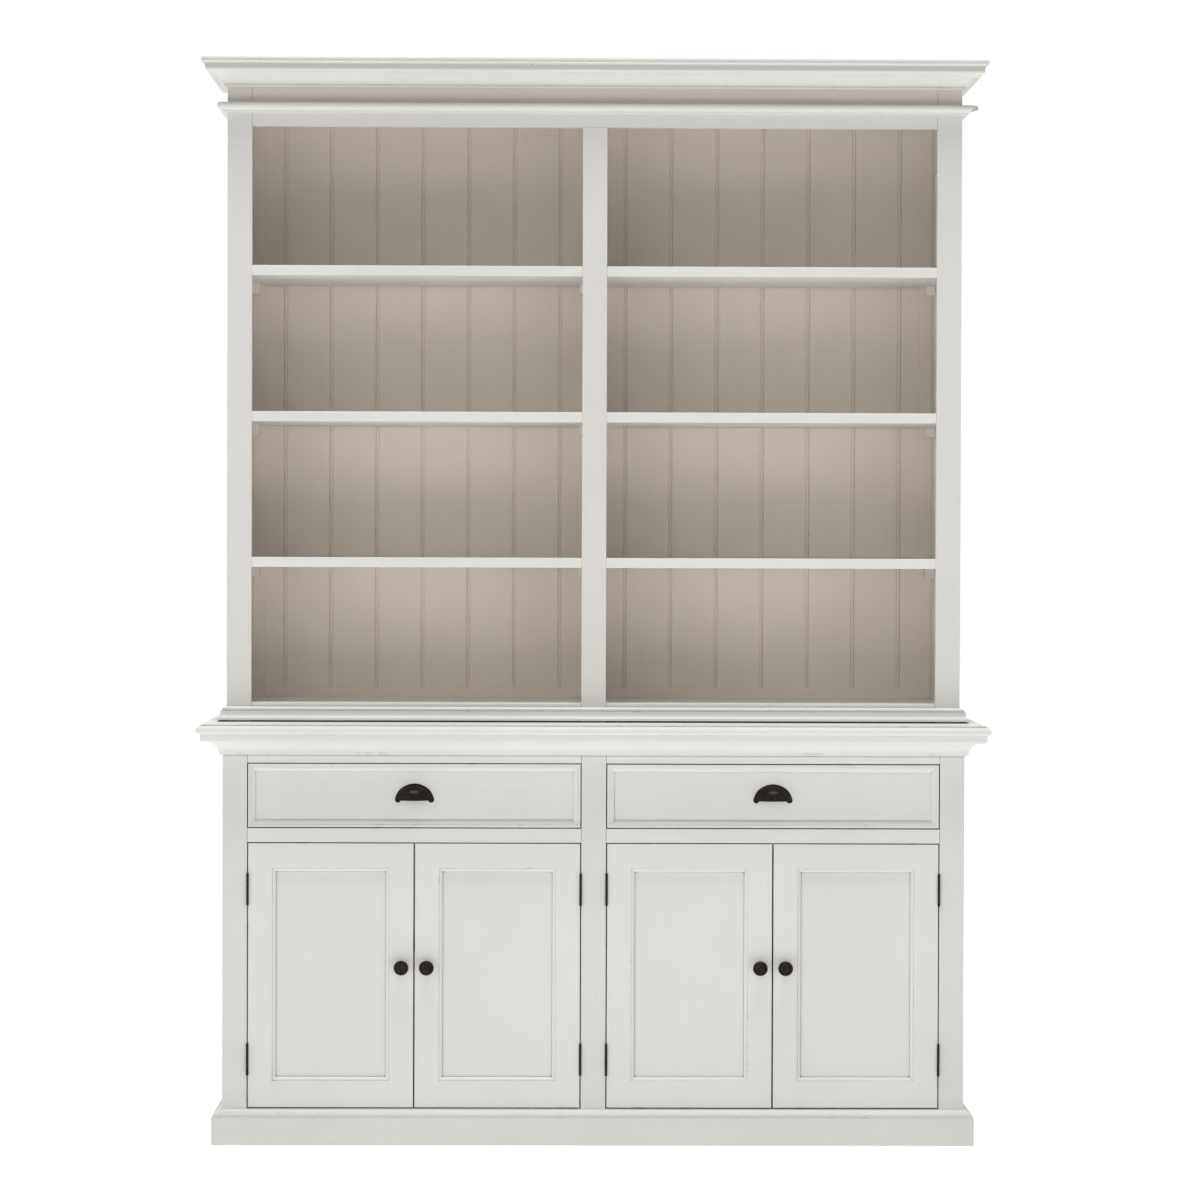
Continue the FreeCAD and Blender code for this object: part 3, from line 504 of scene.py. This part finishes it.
def finished(shape, name, body, material):
    """A mesh object from a bmesh, with its normals outwards, riding on its body."""
    bmesh.ops.remove_doubles(shape, verts=shape.verts, dist=IRON_WELD)
    bmesh.ops.recalc_face_normals(shape, faces=shape.faces)
    mesh = bpy.data.meshes.new(name)
    for face in shape.faces:
        face.smooth = True
    for edge in shape.edges:
        edge.smooth = len(edge.link_faces) == 2 and edge.calc_face_angle(0.0) < IRON_SMOOTH_WITHIN
    shape.to_mesh(mesh)
    shape.free()
    mesh.materials.append(material)
    piece = bpy.data.objects.new(name, mesh)
    scene.collection.objects.link(piece)
    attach(piece, body)
    return piece


def turned_knob(name, body, x, face_y, z):
    """The knob's curve spun about its own axis, which stands out from the door towards -Y."""
    shape = bmesh.new()
    curve = [shape.verts.new((radius, -out, 0)) for radius, out in KNOB_CURVE]
    edges = [shape.edges.new(pair) for pair in zip(curve, curve[1:])]
    bmesh.ops.spin(shape, geom=curve + edges, cent=(0, 0, 0), axis=(0, 1, 0), angle=2 * math.pi, steps=KNOB_STEPS,
                   use_merge=True, use_duplicate=False)
    open_edges = [edge for edge in shape.edges if edge.is_boundary]
    ends = bmesh.ops.holes_fill(shape, edges=open_edges, sides=0)["faces"]
    tip = [face for face in ends if face.calc_center_median().y < -KNOB_TIP_FROM]
    bmesh.ops.poke(shape, faces=tip, offset=0)
    bmesh.ops.translate(shape, verts=shape.verts, vec=(x, face_y, z))
    return finished(shape, name, body, iron)


def barrel(shape, x, y, low, high):
    """One knuckle of a hinge, a plain upright round with its edges eased."""
    made = bmesh.ops.create_cone(shape, cap_ends=True, segments=KNUCKLE_SIDES, radius1=HINGE_RADIUS,
                                 radius2=HINGE_RADIUS, depth=high - low,
                                 matrix=Matrix.Translation((x, y, (low + high) / 2)))
    rims = {edge for vertex in made["verts"] for edge in vertex.link_edges
            if abs(edge.verts[0].co.z - edge.verts[1].co.z) < SAME_HEIGHT}
    bmesh.ops.bevel(shape, geom=list(rims), offset=KNUCKLE_EASE, segments=2, profile=0.5, affect="EDGES",
                    material=-1)


def leaf(shape, x0, x1, low, high):
    """One flat leaf, let into the edge of a door or stile behind the knuckles."""
    front = pin_y + HINGE_RADIUS + KNUCKLE_GAP
    middle = Matrix.Translation(((x0 + x1) / 2, (front + leaf_back) / 2, (low + high) / 2))
    size = Matrix.Diagonal((abs(x1 - x0), leaf_back - front, high - low, 1))
    bmesh.ops.create_cube(shape, size=1.0, matrix=middle @ size)


iron = dark_iron("dark cast iron")
frame_leaves = bmesh.new()
for door in door_names:
    body = "door_" + door
    node = body + "_hardware"
    low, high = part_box(node)
    frame_low, frame_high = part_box(body + "_frame")
    hung_left = door in ("left_outer", "right_inner")
    knob_x = high.x - KNOB_REACH if hung_left else low.x + KNOB_REACH
    pin_x = low.x + HINGE_RADIUS if hung_left else high.x - HINGE_RADIUS
    inwards = 1 if hung_left else -1
    knob = turned_knob(body + "_knob", body, knob_x, front_y, (frame_low.z + frame_high.z) / 2 + KNOB_RISE)
    door_leaves = bmesh.new()
    third = HINGE_LENGTH / 3
    for foot in (low.z, high.z - HINGE_LENGTH):
        barrel(door_leaves, pin_x, pin_y, foot + third + KNUCKLE_GAP / 2, foot + 2 * third - KNUCKLE_GAP / 2)
        barrel(frame_leaves, pin_x, pin_y, foot, foot + third - KNUCKLE_GAP / 2)
        barrel(frame_leaves, pin_x, pin_y, foot + 2 * third + KNUCKLE_GAP / 2, foot + HINGE_LENGTH)
        door_edge = pin_x + inwards * HINGE_GAP / 2
        frame_edge = pin_x - inwards * HINGE_GAP / 2
        leaf(door_leaves, door_edge - inwards * HINGE_LEAF, door_edge, foot, foot + HINGE_LENGTH)
        leaf(frame_leaves, frame_edge, frame_edge + inwards * HINGE_LEAF, foot, foot + HINGE_LENGTH)
    door_hinge = finished(door_leaves, body + "_hinge_leaves", body, iron)
    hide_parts(node)
    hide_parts(node)
cabinet_hinges = finished(frame_leaves, "cabinet_hinge_leaves", "cabinet", iron)
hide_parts("hinge_frame_leaves")

# Cup pulls. A thin cast shell with a rolled lip, a narrow rim and two ears, each held to the drawer
# front by a slotted screw. The shell is spun from its front curve and cut off where it meets the
# drawer. The curve is pairs of a distance from the middle and a radius.

PULL_CURVE = [(0.0, 0.0333), (0.0040, 0.0331), (0.0080, 0.0324), (0.0120, 0.0314), (0.0160, 0.0299),
              (0.0200, 0.0281), (0.0240, 0.0259), (0.0280, 0.0228), (0.0312, 0.0194), (0.0336, 0.0161),
              (0.0356, 0.0128), (0.0375, 0.0094)]
PULL_STEPS = 36
PULL_HEIGHT = 0.0341
PULL_SETBACK = 0.00933
PULL_WALL = 0.0018
PULL_RIM = 0.0020
RIM_SIDEWAYS = 0.8
PULL_ROUND = 0.0005
PULL_ROUND_PAST = math.radians(40)
CUT_WITHIN = 0.000001
ON_THE_CUT = 0.00001
EAR_RADIUS = 0.0060
EAR_THICKNESS = 0.0016
EAR_SIDES = 40
EAR_ROUND = 0.0004
EAR_OFFSET = 0.0336
EAR_RISE = 0.0012
SCREW_RADIUS = 0.0021
SCREW_TOP_SHARE = 0.7
SCREW_HEIGHT = 0.0009
SCREW_SIDES = 32
SCREW_DROP = 0.0024
SLOT_HALF_WIDTH = 0.0003
SLOT_CUT_WITHIN = 0.0000001
SLOT_INSET = 0.00002
SLOT_DEPTH = 0.0005
SLOT_TURN = 0.5
FACING_OUT = 0.9


def everything_in(shape):
    return shape.verts[:] + shape.edges[:] + shape.faces[:]


def ear(shape, x, y, z):
    """A round tab of the pull against the drawer front. Its rims bound faces of over four corners."""
    turn = Matrix.Rotation(math.pi / 2, 4, "X")
    middle = Matrix.Translation((x, y - EAR_THICKNESS / 2, z))
    made = bmesh.ops.create_cone(shape, cap_ends=True, segments=EAR_SIDES, radius1=EAR_RADIUS, radius2=EAR_RADIUS,
                                 depth=EAR_THICKNESS, matrix=middle @ turn)
    rims = {edge for vertex in made["verts"] for edge in vertex.link_edges
            if any(len(face.verts) > 4 for face in edge.link_faces)}
    bmesh.ops.bevel(shape, geom=list(rims), offset=EAR_ROUND, segments=2, profile=0.5, affect="EDGES",
                    material=-1)


def slotted_screw(shape, place, turn):
    """A low round head with a slot, facing -Y."""
    head = bmesh.new()
    bmesh.ops.create_cone(head, cap_ends=True, segments=SCREW_SIDES, radius1=SCREW_RADIUS,
                          radius2=SCREW_RADIUS * SCREW_TOP_SHARE, depth=SCREW_HEIGHT,
                          matrix=Matrix.Translation((0, 0, SCREW_HEIGHT / 2)))
    for x in (-SLOT_HALF_WIDTH, SLOT_HALF_WIDTH):
        bmesh.ops.bisect_plane(head, geom=everything_in(head), dist=SLOT_CUT_WITHIN, plane_co=(x, 0, 0),
                               plane_no=(1, 0, 0))
    slot_faces = [face for face in head.faces
                  if face.normal.z > FACING_OUT and abs(face.calc_center_median().x) < SLOT_HALF_WIDTH]
    bmesh.ops.inset_individual(head, faces=slot_faces, thickness=SLOT_INSET, depth=-SLOT_DEPTH)
    bmesh.ops.rotate(head, verts=head.verts, cent=(0, 0, 0), matrix=Matrix.Rotation(turn, 3, "Z"))
    bmesh.ops.rotate(head, verts=head.verts, cent=(0, 0, 0), matrix=Matrix.Rotation(math.pi / 2, 3, "X"))
    bmesh.ops.translate(head, verts=head.verts, vec=place)
    head_mesh = bpy.data.meshes.new("screw head")
    head.to_mesh(head_mesh)
    head.free()
    shape.from_mesh(head_mesh)
    bpy.data.meshes.remove(head_mesh)


def cup_pull(drawer):
    """A hollow shell with its rim, its two ears and their screws, on the front of a drawer."""
    low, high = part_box(drawer + "_pull")
    middle = (low.x + high.x) / 2
    field = high.y
    lip = high.z - PULL_HEIGHT
    shape = bmesh.new()
    half = [(-x, radius) for x, radius in reversed(PULL_CURVE[1:])] + PULL_CURVE
    curve = [shape.verts.new((x, -radius, 0)) for x, radius in half]
    edges = [shape.edges.new(pair) for pair in zip(curve, curve[1:])]
    bmesh.ops.spin(shape, geom=curve + edges, cent=(0, 0, 0), axis=(1, 0, 0), angle=-math.pi / 2,
                   steps=PULL_STEPS, use_merge=False, use_duplicate=False)
    bmesh.ops.bisect_plane(shape, geom=everything_in(shape), dist=CUT_WITHIN, plane_co=(0, -PULL_SETBACK, 0),
                           plane_no=(0, 1, 0), clear_outer=True)
    bmesh.ops.recalc_face_normals(shape, faces=shape.faces)
    top_face = max(shape.faces, key=lambda face: face.calc_center_median().z)
    if top_face.normal.z < 0:
        bmesh.ops.reverse_faces(shape, faces=shape.faces)
    seam = [edge for edge in shape.edges
            if edge.is_boundary and all(abs(vertex.co.y + PULL_SETBACK) < ON_THE_CUT for vertex in edge.verts)]
    rim = bmesh.ops.extrude_edge_only(shape, edges=seam)["geom"]
    for vertex in (item for item in rim if isinstance(item, bmesh.types.BMVert)):
        vertex.co += Vector((vertex.co.x * RIM_SIDEWAYS, 0, vertex.co.z)).normalized() * PULL_RIM
    bmesh.ops.translate(shape, verts=shape.verts, vec=(middle, field + PULL_SETBACK, lip))
    shell = finished(shape, drawer + "_cup_pull", drawer, pull_iron)
    wall = shell.modifiers.new("wall", "SOLIDIFY")
    wall.thickness = PULL_WALL
    wall.offset = -1
    rounding = shell.modifiers.new("soft edges", "BEVEL")
    rounding.width = PULL_ROUND
    rounding.segments = 2
    rounding.limit_method = "ANGLE"
    rounding.angle_limit = PULL_ROUND_PAST
    ears = bmesh.new()
    screws = bmesh.new()
    for side in (-1, 1):
        x = middle + side * EAR_OFFSET
        ear(ears, x, field, lip + EAR_RISE)
        slotted_screw(screws, Vector((x, field - EAR_THICKNESS, lip - SCREW_DROP)), side * SLOT_TURN)
    tabs = finished(ears, drawer + "_pull_ears", drawer, iron)
    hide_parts(drawer + "_pull")
    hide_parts(drawer + "_pull")
    finished(screws, drawer + "_pull_screws", drawer, iron)


pull_low, pull_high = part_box("drawer_right_pull")
# The pulls' iron has a painted highlight on its dome, about the middle of each pull.
pull_iron = dark_iron("cast iron of the pulls", (pull_low.x + pull_high.x) / 2)
for drawer in drawer_names:
    cup_pull(drawer)

# Door catches. Small zinc-plated steel blocks with magnets, screwed under the door stops.

ZINC = (0.42, 0.42, 0.43)
ZINC_BRIGHT = (0.56, 0.56, 0.57)
ZINC_CLOUDS = 120.0
ZINC_SHEEN_STEP = (0.3, 0.7, 0.3, 0.45)
CATCH_EASE = 0.0006

zinc, tree, skin = new_material("zinc plate")
cloud = even_noise(tree, ZINC_CLOUDS, detail=3.0)
tree.links.new(blend_colours(tree, cloud, ZINC, ZINC_BRIGHT), skin.inputs["Base Color"])
tree.links.new(step_between(tree, cloud, *ZINC_SHEEN_STEP), skin.inputs["Roughness"])
skin.inputs["Metallic"].default_value = 1.0
catches = eased_copy("door_catches", "cabinet", zinc, "door_catches_plated", CATCH_EASE)

# Studio lamp and surround. One wide soft lamp hangs high above the front. The surround is white to
# the camera and in reflections. As light it is stronger on the left, dark overhead, and brightest
# low down behind both sides.

LAMP_PLACE = Vector((0, -1.8, 9.0))
LAMP_TARGET = Vector((0, -0.6, 1.0))
LAMP_WIDTH = 5.0
LAMP_DEPTH = 1.6
LAMP_WATTS = 460
LEFT_TO_RIGHT = (-0.4, 0.4)
LOW_SKY_LEFT, LOW_SKY_RIGHT = 0.65, 0.22
MID_SKY_LEFT, MID_SKY_RIGHT = 0.74, 0.30
LOW_TO_MID = (0.30, 0.44)
SKY_TOP_STEP = (0.68, 0.80, 1.0, 0.0)
BESIDE_STEP = (0.55, 0.75)
BEHIND_STEP = (-0.02, 0.06)
SIDE_GLOW_STEP = (0.50, 0.62, 1.2, 0.0)

light = bpy.data.lights.new("overhead lamp", "AREA")
light.shape = "RECTANGLE"
light.size = LAMP_WIDTH
light.size_y = LAMP_DEPTH
light.energy = LAMP_WATTS
lamp = bpy.data.objects.new("overhead lamp", light)
lamp.location = LAMP_PLACE
lamp.rotation_euler = (LAMP_TARGET - LAMP_PLACE).to_track_quat("-Z", "Y").to_euler()
scene.collection.objects.link(lamp)

world = bpy.data.worlds.new("white surround")
scene.world = world
world.use_nodes = True
tree = world.node_tree
tree.nodes.clear()
generated = add_node(tree, "ShaderNodeTexCoord").outputs["Generated"]
rightwards, backwards, upwards = add_node(tree, "ShaderNodeSeparateXYZ", None, {0: generated}).outputs
low_sky = step_between(tree, rightwards, *LEFT_TO_RIGHT, LOW_SKY_LEFT, LOW_SKY_RIGHT)
mid_sky = step_between(tree, rightwards, *LEFT_TO_RIGHT, MID_SKY_LEFT, MID_SKY_RIGHT)
sky = step_between(tree, upwards, *LOW_TO_MID, low_sky, mid_sky)
sky = product(tree, sky, step_between(tree, upwards, *SKY_TOP_STEP))
sideways = calculated(tree, "ABSOLUTE", rightwards)
beside = product(tree, step_between(tree, sideways, *BESIDE_STEP), step_between(tree, backwards, *BEHIND_STEP))
beside = product(tree, beside, step_between(tree, upwards, *SIDE_GLOW_STEP))
sky = calculated(tree, "ADD", sky, beside)
rays = add_node(tree, "ShaderNodeLightPath").outputs
seen_white = calculated(tree, "MAXIMUM", rays["Is Camera Ray"], rays["Is Glossy Ray"])
seen_white = calculated(tree, "MAXIMUM", seen_white, rays["Is Transmission Ray"])
strength = add_node(tree, "ShaderNodeMapRange", None, {"Value": seen_white, "To Min": sky, "To Max": 1.0})
surround = add_node(tree, "ShaderNodeBackground", None, {"Color": (1, 1, 1, 1), "Strength": strength.outputs[0]})
add_node(tree, "ShaderNodeOutputWorld", None, {"Surface": surround.outputs[0]})

# Studio floor. A wide matt floor that looks plain white to the camera. As light it is brightest from
# two to three metres in front of the object, and gives none from beyond four.

FLOOR_HALF_SIZE = 30
FLOOR_WHITE = (0.86, 0.86, 0.86, 1)
SEEN_GLOW_STEP = (0.5, 2.0, 0.66, 0.78)
NEAR_GLOW_STEP = (-1.3, -1.9, 0.36, 1.42)
FAR_GLOW_STEP = (-3.2, -4.0, 1.0, 0.0)

floor_shape = bmesh.new()
bmesh.ops.create_grid(floor_shape, x_segments=1, y_segments=1, size=FLOOR_HALF_SIZE)
floor_mesh = bpy.data.meshes.new("floor")
floor_shape.to_mesh(floor_mesh)
floor_shape.free()
floor = bpy.data.objects.new("studio_floor", floor_mesh)
scene.collection.objects.link(floor)
floor_paint, tree, skin = new_material("white studio floor")
skin.inputs["Base Color"].default_value = FLOOR_WHITE
skin.inputs["Roughness"].default_value = 0.9
skin.inputs["Specular IOR Level"].default_value = 0.0
backwards = place_along(tree, "Y")
unseen_glow = product(tree, step_between(tree, backwards, *NEAR_GLOW_STEP),
                      step_between(tree, backwards, *FAR_GLOW_STEP))
seen_glow = step_between(tree, backwards, *SEEN_GLOW_STEP)
rays = add_node(tree, "ShaderNodeLightPath").outputs
glow = add_node(tree, "ShaderNodeMapRange", None,
                {"Value": rays["Is Camera Ray"], "To Min": unseen_glow, "To Max": seen_glow})
skin.inputs["Emission Color"].default_value = (1, 1, 1, 1)
tree.links.new(glow.outputs[0], skin.inputs["Emission Strength"])
floor_mesh.materials.append(floor_paint)

# Camera. Where the photographer stood, eight metres back at chest height, with the turn, tilt and
# roll that the photograph shows.

EYE = Vector((-0.0937, -8.0609, 1.2081))
TURN_RIGHT = math.radians(0.764)
TILT_DOWN = math.radians(0.777)
ROLL = math.radians(0.182)
LENS = 116.79
SENSOR_WIDTH = 36.0

camera_data = bpy.data.cameras.new("camera")
camera_data.sensor_width = SENSOR_WIDTH
camera_data.lens = LENS
camera = bpy.data.objects.new("camera", camera_data)
scene.collection.objects.link(camera)
camera.matrix_world = (Matrix.Translation(EYE) @ Matrix.Rotation(-TURN_RIGHT, 4, "Z")
                       @ Matrix.Rotation(math.pi / 2 - TILT_DOWN, 4, "X") @ Matrix.Rotation(ROLL, 4, "Z"))
scene.camera = camera
scene.view_settings.view_transform = "Standard"
